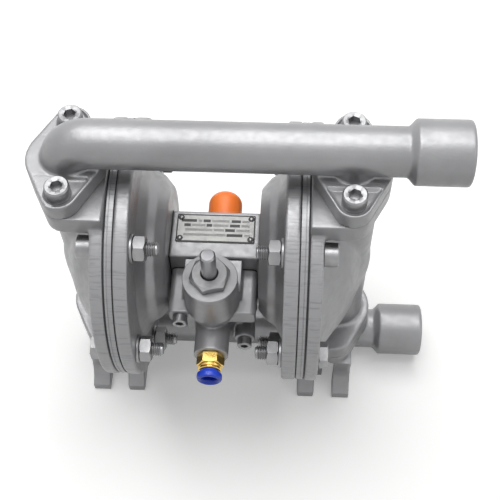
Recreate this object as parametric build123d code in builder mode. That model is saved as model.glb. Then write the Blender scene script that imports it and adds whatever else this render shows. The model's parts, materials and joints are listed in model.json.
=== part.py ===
"""Air operated double diaphragm pump, 1/2 inch ports, painted cast aluminium.

Two diaphragms on one shaft move in two fluid covers. A suction manifold below and a discharge manifold
above join the covers through four ball valves, and an air valve on the centre block drives the shaft.
X runs along the shaft towards the ports, -Y faces the air valve, and the feet stand on Z = 0. The pump is
modelled with X = 0 midway between its discs, and each finished piece is moved to centre the whole.
"""

import os
from math import cos, radians, sin, sqrt

from build123d import *

os.makedirs("parts", exist_ok=True)

# Heights and spacings that place the castings
floor_gap = 3.0
pipe_rise = 21.0
ear_margin = 1.0
port_offset = 23.7
socket_reach = 58.0
centre_shift = 19.0
fit_gap = 0.3
slip = 0.05

# Discs and the joint between them
disc_radius = 76.0
diaphragm_rim = 5.0
air_flange = 8.2
fluid_flange = 7.4
bolt_inset = 10.0
rim_chamfer = 0.8
bolt_clearance = 0.3

# Fluid covers
dome_inset = 15.0
dome_reach = 30.0
dome_wall = 5.0
column_radius = 15.5
ear_thickness = 12.5
screw_spacing = 46.6
ear_radius = 10.0
boss_gap = 0.2
passage_radius = 8.0

# Manifolds
pipe_radius = 13.0
pipe_bore = 9.0
bend_margin = 1.0
flange_floor = 8.3
flange_rim = 2.0
rim_width = 1.5
socket_radius = 17.0
socket_length = 28.0
socket_cone = 3.5
thread_radius = 9.6
thread_depth = 18.0
thread_chamfer = 1.4
socket_round = 1.5

# Ball valves
ball_radius = 9.0
ball_lift = 4.0
seat_radius = 12.0
seat_bore = 7.2
seat_thickness = 5.0
ball_room = 1.2
stop_bar_radius = 2.0
ring_radius = 15.0
ring_section = 1.0

# Feet
foot_width = 34.7
foot_shift = 6.35
foot_front = 43.0
foot_waist = 33.0
foot_back = 10.0
foot_drop = 8.0
toe_thickness = 6.0
toe_flare = 1.5
toe_curve = 14.4
slot_width = 12.0
slot_end = 27.0
key_hole_radius = 7.4

# Air chambers
chamber_depth = 22.6
hub_face_radius = 36.0
nut_room = 13.0
seal_land = 10.5
high_screw = (12.0, 12.0)
low_screw = (10.5, -22.5)
air_wall = 4.0
gasket_thickness = 0.5

# Centre block
block_width = 51.4
block_depth = 31.4
block_top = 15.5
block_bottom = 34.0
block_corner = 1.0
exhaust_shift = 3.5
exhaust_radius = 8.2
exhaust_depth = 4.2

# Shaft and plates
shaft_radius = 8.0
stud_radius = 5.0
bush_radius = 10.0
bush_length = 13.0
seal_length = 5.0
shaft_clearance = 0.04
shaft_room = 1.0
shaft_chamfer = 0.8
plate_inset = 28.0
plate_thickness = 4.2
plate_edge = 2.0
plate_nut_height = 6.0
plate_nut_flats = 17.0
plate_nut_tail = 1.0
diaphragm_web = 3.0
diaphragm_roll_depth = 4.5
roll_inset = 11.0
roll_gap = 2.0
diaphragm_bore = 5.6
diaphragm_trim = 0.8

# M8 fasteners
m8_radius = 4.0
m8_head_radius = 6.5
m8_head_height = 8.0
m8_key = 6.0
m8_key_depth = 4.0
m8_flats = 13.0
m8_hex_height = 5.3
m8_nut_height = 6.8
m8_washer_radius = 8.0
m8_washer_thickness = 1.6
m8_tail = 6.5
flange_screw_grip = 11.0

# M5 fasteners
m5_radius = 2.5
m5_head_radius = 4.25
m5_head_height = 5.0
m5_key = 4.0
m5_key_depth = 2.5
m5_grip = 4.6
sunk_head_radius = 5.0
sunk_head_height = 2.7
sunk_grip = 9.0
drill_point = 1.0

# Air valve
valve_stand = 37.0
valve_radius = 15.25
valve_top = 27.0
valve_waist = 2.0
valve_neck_radius = 11.5
valve_neck_drop = 12.0
valve_middle = -16.5
valve_half_height = 19.5
valve_inset = 0.7
valve_plate_thickness = 7.0
valve_web_half_width = 16.5
valve_web_top = 14.0
valve_corner = 3.0
valve_seat = 45.0
shoulder_height = 11.5
valve_screw_inset = 6.7
valve_screw_z = 13.3
screw_boss_radius = 6.0
inlet_radius = 10.0
inlet_face = 63.0
inlet_thread_radius = 6.2
inlet_thread_depth = 9.0
inlet_passage = 3.5
sleeve_radius = 9.0
sleeve_bore = 6.0
sleeve_foot = -33.0
sleeve_head = 18.0
sleeve_port = 1.6
port_pitch = 9.0
sleeve_groove = 1.6
spool_length = 41.0
spool_clearance = 0.03
spool_waist = 3.8
spool_land = 6.0
spool_travel = 6.0
cap_radius = 15.4
cap_thickness = 2.0
cap_bore = 6.2
gland_flats = 20.0
gland_height = 5.0
gland_bore = 5.0
gland_turn = 20
rod_radius = 4.25
rod_rise = 19.0
rod_tip_chamfer = 0.8
rod_flange_radius = 7.5
rod_flange_thickness = 2.0
bottom_plug_thickness = 3.0

# Push-in fitting
fitting_flats = 14.0
fitting_hex_length = 6.5
fitting_neck_radius = 6.3
fitting_neck_length = 3.0
tube_radius = 4.1
collar_radius = 7.3
collar_head = 4.4
collar_sleeve_radius = 5.0
collar_sleeve_length = 6.0
collar_travel = 1.2
fitting_stop_radius = 3.0
fitting_stop_depth = 6.0
fitting_seal_sink = 1.5
fitting_seal_length = 2.6
fitting_claw_length = 0.5

# Exhaust plug
plug_radius = 10.2
plug_length = 22.0
plug_nose = 7.0

# Nameplate
plate_width = 46.0
plate_height = 19.0
plate_sheet = 0.6
plate_back_shift = 3.5
rivet_radius = 1.1
rivet_inset = 2.4
rivet_head = 0.7

# Places worked out from the sizes above
hub_face = block_width / 2 + gasket_thickness
rim_inner = hub_face + chamber_depth
rim_outer = rim_inner + diaphragm_rim
parting = (rim_inner + rim_outer) / 2
air_face = rim_inner - air_flange
fluid_face = rim_outer + fluid_flange
port_x = parting + port_offset
port_boss_radius = port_x - rim_outer - boss_gap
port_reach = port_x + socket_reach
screw_y = screw_spacing / 2
bolt_circle = disc_radius - bolt_inset
ear_height = disc_radius + ear_margin
bottom_joint = floor_gap + socket_radius + pipe_rise
axis_height = bottom_joint + ear_height
top_joint = axis_height + ear_height
top_pipe = top_joint + pipe_rise
flange_thickness = flange_floor + flange_rim
pocket_radius = ball_radius + ball_room
ball_seat_height = sqrt((ball_radius + fit_gap) ** 2 - seat_bore**2)
stop_bar_rise = ball_seat_height + ball_lift + ball_radius + fit_gap + stop_bar_radius
block_front = -block_depth / 2
block_back = block_depth / 2
cap_angles = (57, 123)
hex_angles = (-3, 183, 240, 300)

shaft_axis = Axis((0, 0, axis_height), (1, 0, 0))
profile_plane = Plane(origin=(0, 0, axis_height), x_dir=(1, 0, 0), z_dir=(0, -1, 0))
valve_z = axis_height + valve_middle
valve_axis = Axis((0, -valve_stand, axis_height), (0, 0, 1))
middle_level = Plane.XY.offset(axis_height)


def across(x):
    """Plane square to the shaft at x: its own x runs back and its own y runs up."""
    return Plane(origin=(x, 0, axis_height), x_dir=(0, 1, 0), z_dir=(1, 0, 0))


def level(z, x=0.0, y=0.0):
    """Level plane at a height above the floor."""
    return Plane(origin=(x, y, z), x_dir=(1, 0, 0), z_dir=(0, 0, 1))


def facing(y, x=0.0, z=0.0):
    """Upright plane that faces the air valve's side: its own x runs to the ports and its own y up."""
    return Plane(origin=(x, y, z), x_dir=(1, 0, 0), z_dir=(0, -1, 0))


def bolt_spots(x, angles):
    """Planes at the bolt holes of one disc."""
    turns = [radians(angle) for angle in angles]
    return [across(x) * Pos(bolt_circle * cos(turn), bolt_circle * sin(turn), 0) for turn in turns]


def turned(points, axis=shaft_axis, plane=profile_plane, mode=Mode.ADD):
    """Turn a closed outline of (along, radius) points about the shaft."""
    with BuildSketch(plane) as outline:
        with BuildLine():
            Polyline(*points, close=True)
        make_face()
    revolve(outline.sketch, axis=axis, mode=mode)


def rod(plane, radius, amount, mode=Mode.ADD):
    """Extrude a circle from a plane."""
    with BuildSketch(plane) as disc:
        Circle(radius)
    extrude(disc.sketch, amount=amount, mode=mode)


def flange_outline():
    """Outline of a two bolt manifold flange."""
    Circle(port_boss_radius)
    with Locations((0, screw_y), (0, -screw_y)):
        Circle(ear_radius)
    make_hull()


def cap_screw(radius, head_radius, head_height, key, key_depth, grip):
    """Socket head cap screw: the head stands on the XY plane and the shank hangs below it."""
    rod(Plane.XY, head_radius, head_height)
    chamfer(edges().group_by(Axis.Z)[-1], head_height / 12)
    with BuildSketch(Plane.XY.offset(head_height)) as socket:
        RegularPolygon(key / 2, 6, major_radius=False)
    extrude(socket.sketch, amount=-key_depth, mode=Mode.SUBTRACT)
    rod(Plane.XY, radius, -grip)


def dished(points, start, end):
    """Turn a smooth curve of (along, radius) points about the shaft, closed by the straight way back."""
    with BuildSketch(profile_plane) as outline:
        with BuildLine():
            Spline(*points)
            Polyline(points[-1], end, start, points[0])
        make_face()
    revolve(outline.sketch, axis=shaft_axis)


def ring(plane, outer, inner, amount, mode=Mode.ADD):
    """Extrude a flat ring from a plane."""
    with BuildSketch(plane) as washer:
        Circle(outer)
        Circle(inner, mode=Mode.SUBTRACT)
    extrude(washer.sketch, amount=amount, mode=mode)


def hexagon(plane, flats, amount, turn=0.0, mode=Mode.ADD):
    """Extrude a hexagon of a given width across its flats from a plane."""
    with BuildSketch(plane) as six:
        RegularPolygon(flats / 2, 6, major_radius=False, rotation=turn)
    extrude(six.sketch, amount=amount, mode=mode)


def save(builder, name):
    """Write a finished piece, moved so that the whole pump stands centred over the origin."""
    piece = builder.part.moved(Location((-centre_shift, 0, 0)))
    piece.label = name
    export_step(piece, f"parts/{name}.step")


# Screws, nuts and washers that are used many times
with BuildPart() as flange_screw:
    cap_screw(
        m8_radius, m8_head_radius, m8_head_height, m8_key, m8_key_depth, flange_floor + flange_screw_grip
    )

clamp_length = fluid_face - air_face + m8_washer_thickness + m8_nut_height + m8_tail

with BuildPart() as chamber_cap_screw:
    cap_screw(m8_radius, m8_head_radius, m8_head_height, m8_key, m8_key_depth, clamp_length)

with BuildPart() as chamber_hex_bolt:
    hexagon(Plane.XY, m8_flats, m8_hex_height)
    rod(Plane.XY, m8_radius, -clamp_length)

with BuildPart() as m8_nut:
    hexagon(Plane.XY, m8_flats, -m8_nut_height)
    rod(Plane.XY, m8_radius + slip, -m8_nut_height, Mode.SUBTRACT)

with BuildPart() as m8_washer:
    ring(Plane.XY, m8_washer_radius, m8_radius + bolt_clearance, -m8_washer_thickness)

valve_screw_length = valve_seat + block_front + m5_grip

with BuildPart() as m5_screw:
    cap_screw(m5_radius, m5_head_radius, m5_head_height, m5_key, m5_key_depth, valve_screw_length)

with BuildPart() as sunk_screw:
    rod(Plane.XY, m5_radius, -(air_wall + gasket_thickness + sunk_grip))
    with BuildSketch(Plane.XY):
        Circle(sunk_head_radius)
    extrude(amount=-sunk_head_height, taper=45)
    hexagon(Plane.XY, m5_key * 0.75, -sunk_head_height * 0.6, mode=Mode.SUBTRACT)


def ear_holes(joint, side, radius, amount):
    """Cut the two screw holes of one manifold joint."""
    for y in (-screw_y, screw_y):
        rod(level(joint, side, y), radius, amount, Mode.SUBTRACT)


# Fluid cover: bolted disc, cone-shaped dome, upright passage and an ear block above and below
dome_foot_radius = disc_radius - dome_inset
dome_curve = [
    (fluid_face, dome_foot_radius),
    (fluid_face + 0.30 * dome_reach, 0.78 * dome_foot_radius),
    (fluid_face + 0.56 * dome_reach, 0.59 * dome_foot_radius),
    (fluid_face + 0.74 * dome_reach, 0.39 * dome_foot_radius),
    (fluid_face + 0.92 * dome_reach, 0.20 * dome_foot_radius),
    (fluid_face + dome_reach, 0),
]
cavity_radius = dome_foot_radius - dome_wall
cavity_reach = dome_reach - 2 * dome_wall
cavity_outline = [
    (rim_outer, 0),
    (rim_outer, cavity_radius),
    (fluid_face - 0.2 * fluid_flange, cavity_radius),
    (fluid_face + 0.26 * cavity_reach, 0.80 * cavity_radius),
    (fluid_face + 0.62 * cavity_reach, 0.58 * cavity_radius),
    (fluid_face + 0.88 * cavity_reach, 0.32 * cavity_radius),
    (fluid_face + cavity_reach, 0),
]
block_middle = (rim_outer - port_x) / 2

with BuildPart() as right_fluid_cover:
    rod(across(rim_outer), disc_radius, fluid_flange)
    chamfer(edges().filter_by(GeomType.CIRCLE), rim_chamfer)
    dished(dome_curve, (rim_outer, dome_foot_radius), (rim_outer, 0))
    rod(level(bottom_joint, port_x), column_radius, 2 * ear_height)
    for joint, way in ((top_joint, -1), (bottom_joint, 1)):
        with BuildSketch(level(joint, port_x)) as ear:
            flange_outline()
            with Locations((block_middle, 0)):
                Rectangle(port_x - rim_outer, screw_spacing + 2 * ear_radius)
        extrude(ear.sketch, amount=way * ear_thickness)
        ear_holes(joint, port_x, m8_radius + slip, way * (flange_screw_grip + 2 * fit_gap))
    turned(cavity_outline, mode=Mode.SUBTRACT)
    rod(level(bottom_joint, port_x), passage_radius, 2 * ear_height, Mode.SUBTRACT)
    rod(level(top_joint, port_x), seat_radius + slip, -seat_thickness, Mode.SUBTRACT)
    ring(level(top_joint, port_x), ring_radius + ring_section + fit_gap,
         ring_radius - ring_section - fit_gap, -2 * (ring_section + slip), Mode.SUBTRACT)
    rod(level(bottom_joint, port_x), pocket_radius, stop_bar_rise + 2 * stop_bar_radius, Mode.SUBTRACT)
    rod(facing(pocket_radius + fit_gap, port_x, bottom_joint + stop_bar_rise), stop_bar_radius,
        2 * (pocket_radius + fit_gap))
    for spot in bolt_spots(rim_outer, cap_angles + hex_angles):
        rod(spot, m8_radius + bolt_clearance, fluid_flange, Mode.SUBTRACT)
    for angles, room in ((cap_angles, m8_head_radius), (hex_angles, m8_flats / sqrt(3))):
        for spot in bolt_spots(fluid_face, angles):
            rod(spot, room + 2 * fit_gap, m8_head_height, Mode.SUBTRACT)

with BuildPart() as left_fluid_cover:
    mirror(right_fluid_cover.part, about=Plane.YZ)

# Air chamber: bolted disc and a stepped cone towards the centre block
cone_radius = bolt_circle - nut_room
cone_depth = air_face - hub_face
cone_flare = cone_radius - hub_face_radius
cone_outline = [
    (hub_face, 0),
    (hub_face, hub_face_radius),
    (hub_face + 0.38 * cone_depth, hub_face_radius + 0.38 * cone_flare),
    (hub_face + 0.69 * cone_depth, hub_face_radius + 0.53 * cone_flare),
    (air_face, cone_radius),
    (rim_inner, cone_radius),
    (rim_inner, 0),
]
air_cavity_outline = [
    (hub_face + air_wall, 0),
    (hub_face + air_wall, hub_face_radius - air_wall),
    (hub_face + 0.66 * cone_depth, hub_face_radius + 0.19 * cone_flare),
    (air_face, hub_face_radius + 0.53 * cone_flare),
    (air_face + air_flange / 2, cone_radius + air_wall / 4),
    (rim_inner, bolt_circle - seal_land),
    (rim_inner, 0),
]
sunk_spots = [(way * y, z) for y, z in (high_screw, low_screw) for way in (-1, 1)]


def sunk_planes(x):
    """Planes at the screws between an air chamber and the centre block."""
    return [across(x) * Pos(y, z, 0) for y, z in sunk_spots]


with BuildPart() as right_air_chamber:
    rod(across(rim_inner), disc_radius, -air_flange)
    chamfer(edges().filter_by(GeomType.CIRCLE), rim_chamfer)
    turned(cone_outline)
    turned(air_cavity_outline, mode=Mode.SUBTRACT)
    rod(across(hub_face), shaft_radius + shaft_room, air_wall, Mode.SUBTRACT)
    for spot in bolt_spots(rim_inner, cap_angles + hex_angles):
        rod(spot, m8_radius + bolt_clearance, -air_flange, Mode.SUBTRACT)
    for spot in sunk_planes(hub_face + air_wall):
        rod(spot, m5_radius + bolt_clearance, -air_wall, Mode.SUBTRACT)
        with BuildSketch(spot) as sink:
            Circle(sunk_head_radius + slip)
        extrude(sink.sketch, amount=-sunk_head_height - slip, taper=45, mode=Mode.SUBTRACT)

with BuildPart() as left_air_chamber:
    mirror(right_air_chamber.part, about=Plane.YZ)

with BuildPart() as chamber_gaskets:
    with BuildSketch(across(block_width / 2)) as sheet:
        with Locations((0, (block_top - block_bottom) / 2)):
            Rectangle(block_depth, block_top + block_bottom)
        Circle(bush_radius + shaft_room, mode=Mode.SUBTRACT)
        with Locations(*sunk_spots):
            Circle(m5_radius + bolt_clearance, mode=Mode.SUBTRACT)
    extrude(sheet.sketch, amount=gasket_thickness)
    mirror(about=Plane.YZ)

with BuildPart() as chamber_screws:
    with Locations(*sunk_planes(hub_face + air_wall)):
        add(sunk_screw.part)
    mirror(about=Plane.YZ)

# Diaphragm: clamped rim, rolled web and flat centre
web = diaphragm_web / 2
plate_radius = bolt_circle - plate_inset
roll_inner = plate_radius + roll_gap
roll_outer = bolt_circle - roll_inset
roll_quarter = (roll_outer - roll_inner) / 4
roll_dip = parting - web - diaphragm_roll_depth
diaphragm_edge = disc_radius - diaphragm_trim
diaphragm_outline = [
    (parting - web, roll_inner),
    (parting - web, diaphragm_bore),
    (parting + web, diaphragm_bore),
    (parting + web, roll_inner),
    (roll_dip + diaphragm_web, roll_inner + roll_quarter),
    (roll_dip + diaphragm_web, roll_outer - roll_quarter - web),
    (rim_outer, roll_outer),
    (rim_outer, diaphragm_edge),
    (rim_inner, diaphragm_edge),
    (rim_inner, roll_outer),
    (parting - web, roll_outer - web),
    (roll_dip, roll_outer - roll_quarter - web),
    (roll_dip, roll_inner + roll_quarter),
]

with BuildPart() as right_diaphragm:
    turned(diaphragm_outline)
    for spot in bolt_spots(rim_inner, cap_angles + hex_angles):
        rod(spot, m8_radius + bolt_clearance, diaphragm_rim, Mode.SUBTRACT)

with BuildPart() as left_diaphragm:
    mirror(right_diaphragm.part, about=Plane.YZ)

# Shaft, plates and their nuts
plate_seat = parting - web - fit_gap - plate_thickness
outer_seat = parting + web + fit_gap
shaft_end = outer_seat + plate_thickness + plate_nut_height + plate_nut_tail

with BuildPart() as diaphragm_shaft:
    rod(across(-plate_seat), shaft_radius, 2 * plate_seat)
    rod(across(-shaft_end), stud_radius, 2 * shaft_end)
    chamfer(edges().group_by(Axis.X)[0], shaft_chamfer)
    chamfer(edges().group_by(Axis.X)[-1], shaft_chamfer)


def plate_outline(start, way):
    """Dished plate that backs a diaphragm: a flat face on the rubber and a thicker hub away from it."""
    return [
        (start, stud_radius + slip),
        (start, plate_radius - plate_edge),
        (start + way * plate_edge / 2, plate_radius),
        (start + way * plate_edge, plate_radius - plate_edge / 2),
        (start + way * plate_thickness, plate_radius * 0.55),
        (start + way * plate_thickness, stud_radius + slip),
    ]


with BuildPart() as right_inner_plate:
    turned(plate_outline(plate_seat + plate_thickness, -1))

with BuildPart() as right_outer_plate:
    turned(plate_outline(outer_seat, 1))

with BuildPart() as left_inner_plate:
    mirror(right_inner_plate.part, about=Plane.YZ)

with BuildPart() as left_outer_plate:
    mirror(right_outer_plate.part, about=Plane.YZ)

with BuildPart() as plate_nuts:
    hexagon(across(outer_seat + plate_thickness), plate_nut_flats, plate_nut_height)
    rod(across(outer_seat + plate_thickness), stud_radius + slip, plate_nut_height, Mode.SUBTRACT)
    mirror(about=Plane.YZ)

# Chamber fasteners: socket heads above, where the ear leaves no room for a spanner, and hex heads below
with BuildPart() as chamber_cap_screws:
    with Locations(*bolt_spots(fluid_face, cap_angles)):
        add(chamber_cap_screw.part)
    mirror(about=Plane.YZ)

with BuildPart() as chamber_hex_bolts:
    with Locations(*bolt_spots(fluid_face, hex_angles)):
        add(chamber_hex_bolt.part)
    mirror(about=Plane.YZ)

with BuildPart() as chamber_washers:
    with Locations(*bolt_spots(air_face, cap_angles + hex_angles)):
        add(m8_washer.part)
    mirror(about=Plane.YZ)

with BuildPart() as chamber_nuts:
    with Locations(*bolt_spots(air_face - m8_washer_thickness, cap_angles + hex_angles)):
        add(m8_nut.part)
    mirror(about=Plane.YZ)

# Manifolds: a pipe with an elbow at its left end, two flanges and a threaded socket
socket_axis = Axis((0, 0, top_pipe), (1, 0, 0))
elbow_bend = pipe_radius + bend_margin
elbow_x = elbow_bend - port_x
elbow_z = top_pipe - elbow_bend
socket_start = port_reach - socket_length


def pipe_run(radius, mode=Mode.ADD):
    """Pipe from the left flange, round the elbow and along to the socket, and a branch on the right."""
    rod(level(top_joint, -port_x), radius, elbow_z - top_joint, mode)
    with BuildSketch(level(elbow_z)) as section:
        with Locations((-port_x, 0)):
            Circle(radius)
    revolve(section.sketch, axis=Axis((elbow_x, 0, elbow_z), (0, 1, 0)), revolution_arc=90, mode=mode)
    rod(Plane(origin=(elbow_x, 0, top_pipe), z_dir=(1, 0, 0)), radius, socket_start - elbow_x, mode)
    rod(level(top_joint, port_x), radius, top_pipe - top_joint, mode)


with BuildPart() as manifold_casting:
    pipe_run(pipe_radius)
    for side in (-port_x, port_x):
        with BuildSketch(level(top_joint, side)) as plate:
            flange_outline()
        extrude(plate.sketch, amount=flange_thickness)
        with BuildSketch(level(top_joint + flange_thickness, side)) as pocket:
            flange_outline()
            offset(amount=-rim_width)
            Rectangle(2 * port_boss_radius, 2 * pipe_radius + rim_width, mode=Mode.SUBTRACT)
        extrude(pocket.sketch, amount=-flange_rim, mode=Mode.SUBTRACT)
        ear_holes(top_joint, side, m8_radius + bolt_clearance, flange_floor)
    with BuildSketch(facing(0, 0, top_pipe)) as socket:
        with BuildLine():
            Polyline(
                (socket_start - socket_cone, 0),
                (socket_start - socket_cone, pipe_radius),
                (socket_start, socket_radius),
                (port_reach, socket_radius),
                (port_reach, 0),
                close=True,
            )
        make_face()
        fillet(vertices().group_by(Axis.X)[-1].sort_by(Axis.Z)[-1], socket_round)
    revolve(socket.sketch, axis=socket_axis)
    pipe_run(pipe_bore, Mode.SUBTRACT)
    rod(Plane(origin=(port_reach, 0, top_pipe), z_dir=(-1, 0, 0)), pipe_bore, socket_length, Mode.SUBTRACT)
    rod(Plane(origin=(port_reach, 0, top_pipe), z_dir=(-1, 0, 0)), thread_radius, thread_depth,
        Mode.SUBTRACT)
    chamfer(edges().filter_by(GeomType.CIRCLE).group_by(Axis.X)[-1].sort_by(SortBy.RADIUS)[0], thread_chamfer)

with BuildPart() as discharge_manifold:
    add(manifold_casting.part)
    for side in (-port_x, port_x):
        rod(level(top_joint, side), pocket_radius, ball_seat_height + ball_lift, Mode.SUBTRACT)
        with Locations((side, 0, top_joint + ball_seat_height + ball_lift)):
            Sphere(pocket_radius, mode=Mode.SUBTRACT)
        rod(facing(pocket_radius, side, top_joint + stop_bar_rise), stop_bar_radius, 2 * pocket_radius)

foot_centre = port_x - foot_shift
foot_top = bottom_joint - foot_drop

with BuildPart() as suction_manifold:
    mirror(manifold_casting.part, about=middle_level)
    for side in (-1, 1):
        for way in (-1, 1):
            with BuildSketch(Plane(origin=(side * (foot_centre - foot_width / 2), 0, 0), x_dir=(0, way, 0),
                                   z_dir=(way, 0, 0))) as leg:
                with BuildLine():
                    Polyline(
                        (foot_waist, foot_top),
                        (foot_back, foot_top),
                        (foot_back, 0),
                        (foot_front, 0),
                        (foot_front, toe_thickness),
                    )
                    Spline(
                        (foot_front, toe_thickness),
                        (foot_waist + toe_flare, toe_curve),
                        (foot_waist, foot_top),
                        tangents=[(-1, 0.6), (0, 1)],
                    )
                make_face()
            extrude(leg.sketch, amount=side * way * foot_width)
        for y in (-screw_y, screw_y):
            rod(level(0, side * port_x, y), key_hole_radius, bottom_joint - flange_floor, Mode.SUBTRACT)
        for y in (-foot_front, foot_front):
            with BuildSketch(level(0, side * foot_centre, y)) as slot:
                Rectangle(slot_width, 2 * (foot_front - slot_end))
                fillet(slot.vertices(), slot_width / 4)
            extrude(slot.sketch, amount=foot_top, mode=Mode.SUBTRACT)
        rod(level(bottom_joint, side * port_x), seat_radius + slip, -seat_thickness, Mode.SUBTRACT)
        ring(level(bottom_joint, side * port_x), ring_radius + ring_section + fit_gap,
             ring_radius - ring_section - fit_gap, -2 * (ring_section + slip), Mode.SUBTRACT)
        ear_holes(bottom_joint, side * port_x, m8_radius + bolt_clearance, -flange_floor)

with BuildPart() as discharge_screws:
    for side in (-port_x, port_x):
        with Locations(*[(side, y, top_joint + flange_floor) for y in (-screw_y, screw_y)]):
            add(flange_screw.part)

with BuildPart() as suction_screws:
    mirror(discharge_screws.part, about=middle_level)

# Ball valves
with BuildPart() as discharge_ball_seats:
    for side in (-port_x, port_x):
        ring(level(top_joint, side), seat_radius, seat_bore, -seat_thickness)

with BuildPart() as suction_ball_seats:
    for side in (-port_x, port_x):
        ring(level(bottom_joint, side), seat_radius, seat_bore, -seat_thickness)

with BuildPart() as manifold_rings:
    for joint in (top_joint, bottom_joint):
        for side in (-port_x, port_x):
            ring(level(joint - slip, side), ring_radius + ring_section, ring_radius - ring_section,
                 -2 * ring_section)

balls = {}
for name, joint, side in (
    ("discharge_ball_left", top_joint, -port_x),
    ("discharge_ball_right", top_joint, port_x),
    ("suction_ball_left", bottom_joint, -port_x),
    ("suction_ball_right", bottom_joint, port_x),
):
    with BuildPart() as balls[name]:
        with Locations((side, 0, joint + ball_seat_height)):
            Sphere(ball_radius)

# Centre block, bushes and seals
bush_start = block_width / 2 - seal_length - bush_length
exhaust_plane = Plane(origin=(exhaust_shift, block_back, axis_height), x_dir=(1, 0, 0), z_dir=(0, 1, 0))
valve_half_width = block_width / 2 - valve_inset
valve_screw_x = valve_half_width - valve_screw_inset
valve_spots = [(-valve_screw_x, valve_screw_z), (valve_screw_x, -valve_screw_z)]

with BuildPart() as centre_block:
    with BuildSketch(across(-block_width / 2)) as section:
        with Locations((0, (block_top - block_bottom) / 2)):
            RectangleRounded(block_depth, block_top + block_bottom, block_corner)
    extrude(section.sketch, amount=block_width)
    rod(across(-block_width / 2), bush_radius + slip, block_width / 2 - bush_start, Mode.SUBTRACT)
    rod(across(block_width / 2), bush_radius + slip, bush_start - block_width / 2, Mode.SUBTRACT)
    rod(across(-block_width / 2), shaft_radius + shaft_room, block_width, Mode.SUBTRACT)
    rod(exhaust_plane, exhaust_radius + slip, -exhaust_depth, Mode.SUBTRACT)
    for x, z in valve_spots:
        rod(facing(block_front, x, valve_z + z), m5_radius + slip, -m5_grip - 2 * fit_gap, Mode.SUBTRACT)
    for spot in sunk_planes(block_width / 2):
        rod(spot, m5_radius + slip, -sunk_grip - drill_point, Mode.SUBTRACT)
    for spot in sunk_planes(-block_width / 2):
        rod(spot, m5_radius + slip, sunk_grip + drill_point, Mode.SUBTRACT)

with BuildPart() as shaft_bushes:
    ring(across(bush_start), bush_radius, shaft_radius + shaft_clearance, bush_length)
    mirror(about=Plane.YZ)

with BuildPart() as shaft_seals:
    ring(across(bush_start + bush_length), bush_radius, shaft_radius + shaft_clearance, seal_length)
    mirror(about=Plane.YZ)

with BuildPart() as exhaust_plug:
    rod(exhaust_plane, exhaust_radius, -exhaust_depth)
    rod(exhaust_plane, plug_radius, plug_length)
    fillet(edges().filter_by(GeomType.CIRCLE).sort_by(Axis.Y)[-1], plug_nose)

# Nameplate, held by a rivet at each corner
plate_level = axis_height + block_top
rivet_x = plate_width / 2 - rivet_inset
rivet_y = plate_height / 2 - rivet_inset

with BuildPart() as nameplate:
    with BuildSketch(level(plate_level, 0, plate_back_shift)) as sheet:
        RectangleRounded(plate_width, plate_height, block_corner)
    extrude(sheet.sketch, amount=plate_sheet)

with BuildPart() as nameplate_rivets:
    with BuildSketch(level(plate_level + plate_sheet, 0, plate_back_shift)) as heads:
        with GridLocations(2 * rivet_x, 2 * rivet_y, 2, 2):
            Circle(rivet_radius)
    extrude(heads.sketch, amount=rivet_head)

# Air valve body: plate, shoulders, upright barrel and inlet boss
plate_back = block_front - gasket_thickness
barrel_foot = valve_middle - valve_half_height

with BuildPart() as valve_body:
    with BuildSketch(facing(plate_back, 0, valve_z)) as plate:
        RectangleRounded(2 * valve_half_width, 2 * valve_half_height, valve_corner)
    extrude(plate.sketch, amount=valve_plate_thickness)
    with BuildSketch(facing(plate_back, 0, valve_z + valve_half_height - shoulder_height / 2)) as shoulder:
        RectangleRounded(2 * valve_half_width, shoulder_height, valve_corner)
    extrude(shoulder.sketch, amount=valve_seat + plate_back)
    with BuildSketch(facing(plate_back, 0, axis_height + (valve_web_top + barrel_foot) / 2)) as saddle:
        Rectangle(2 * valve_web_half_width, valve_web_top - barrel_foot)
    extrude(saddle.sketch, amount=valve_stand + plate_back)
    with BuildSketch(facing(-valve_stand, 0, axis_height)) as barrel:
        with BuildLine():
            Polyline(
                (0, valve_top),
                (valve_radius, valve_top),
                (valve_radius, valve_waist),
                (valve_neck_radius, valve_waist - valve_neck_drop),
                (valve_neck_radius, barrel_foot),
                (0, barrel_foot),
                close=True,
            )
        make_face()
    revolve(barrel.sketch, axis=valve_axis)
    rod(facing(-valve_stand, 0, valve_z), inlet_radius, inlet_face - valve_stand)
    rod(facing(plate_back, valve_screw_x, valve_z - valve_screw_z), screw_boss_radius,
        valve_seat + plate_back)
    rod(level(axis_height + sleeve_foot - bottom_plug_thickness, 0, -valve_stand), sleeve_radius + slip,
        valve_top - sleeve_foot + bottom_plug_thickness, Mode.SUBTRACT)
    rod(facing(-valve_stand, 0, valve_z), inlet_passage, inlet_face - valve_stand, Mode.SUBTRACT)
    rod(facing(-inlet_face, 0, valve_z), inlet_thread_radius + slip, -inlet_thread_depth, Mode.SUBTRACT)
    for x, z in valve_spots:
        rod(facing(plate_back, x, valve_z + z), m5_radius + bolt_clearance, valve_seat + plate_back,
            Mode.SUBTRACT)

with BuildPart() as valve_gasket:
    with BuildSketch(facing(block_front, 0, valve_z)) as sheet:
        RectangleRounded(2 * valve_half_width, 2 * valve_half_height, valve_corner)
        with Locations(*valve_spots):
            Circle(m5_radius + bolt_clearance, mode=Mode.SUBTRACT)
    extrude(sheet.sketch, amount=gasket_thickness)

with BuildPart() as valve_screws:
    with Locations(*[facing(-valve_seat, x, valve_z + z) for x, z in valve_spots]):
        add(m5_screw.part)

# Inside the valve barrel: sleeve with its rings, spool and reset rod
spool_foot = sleeve_foot + spool_travel + fit_gap
spool_top = spool_foot + spool_length
sleeve_height = sleeve_head - sleeve_foot
port_rows = [valve_middle + way * port_pitch for way in (-1, 0, 1)]
ring_rows = [valve_middle + way * port_pitch for way in (-1.5, -0.5, 0.5, 1.5, 3.4)]


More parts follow.
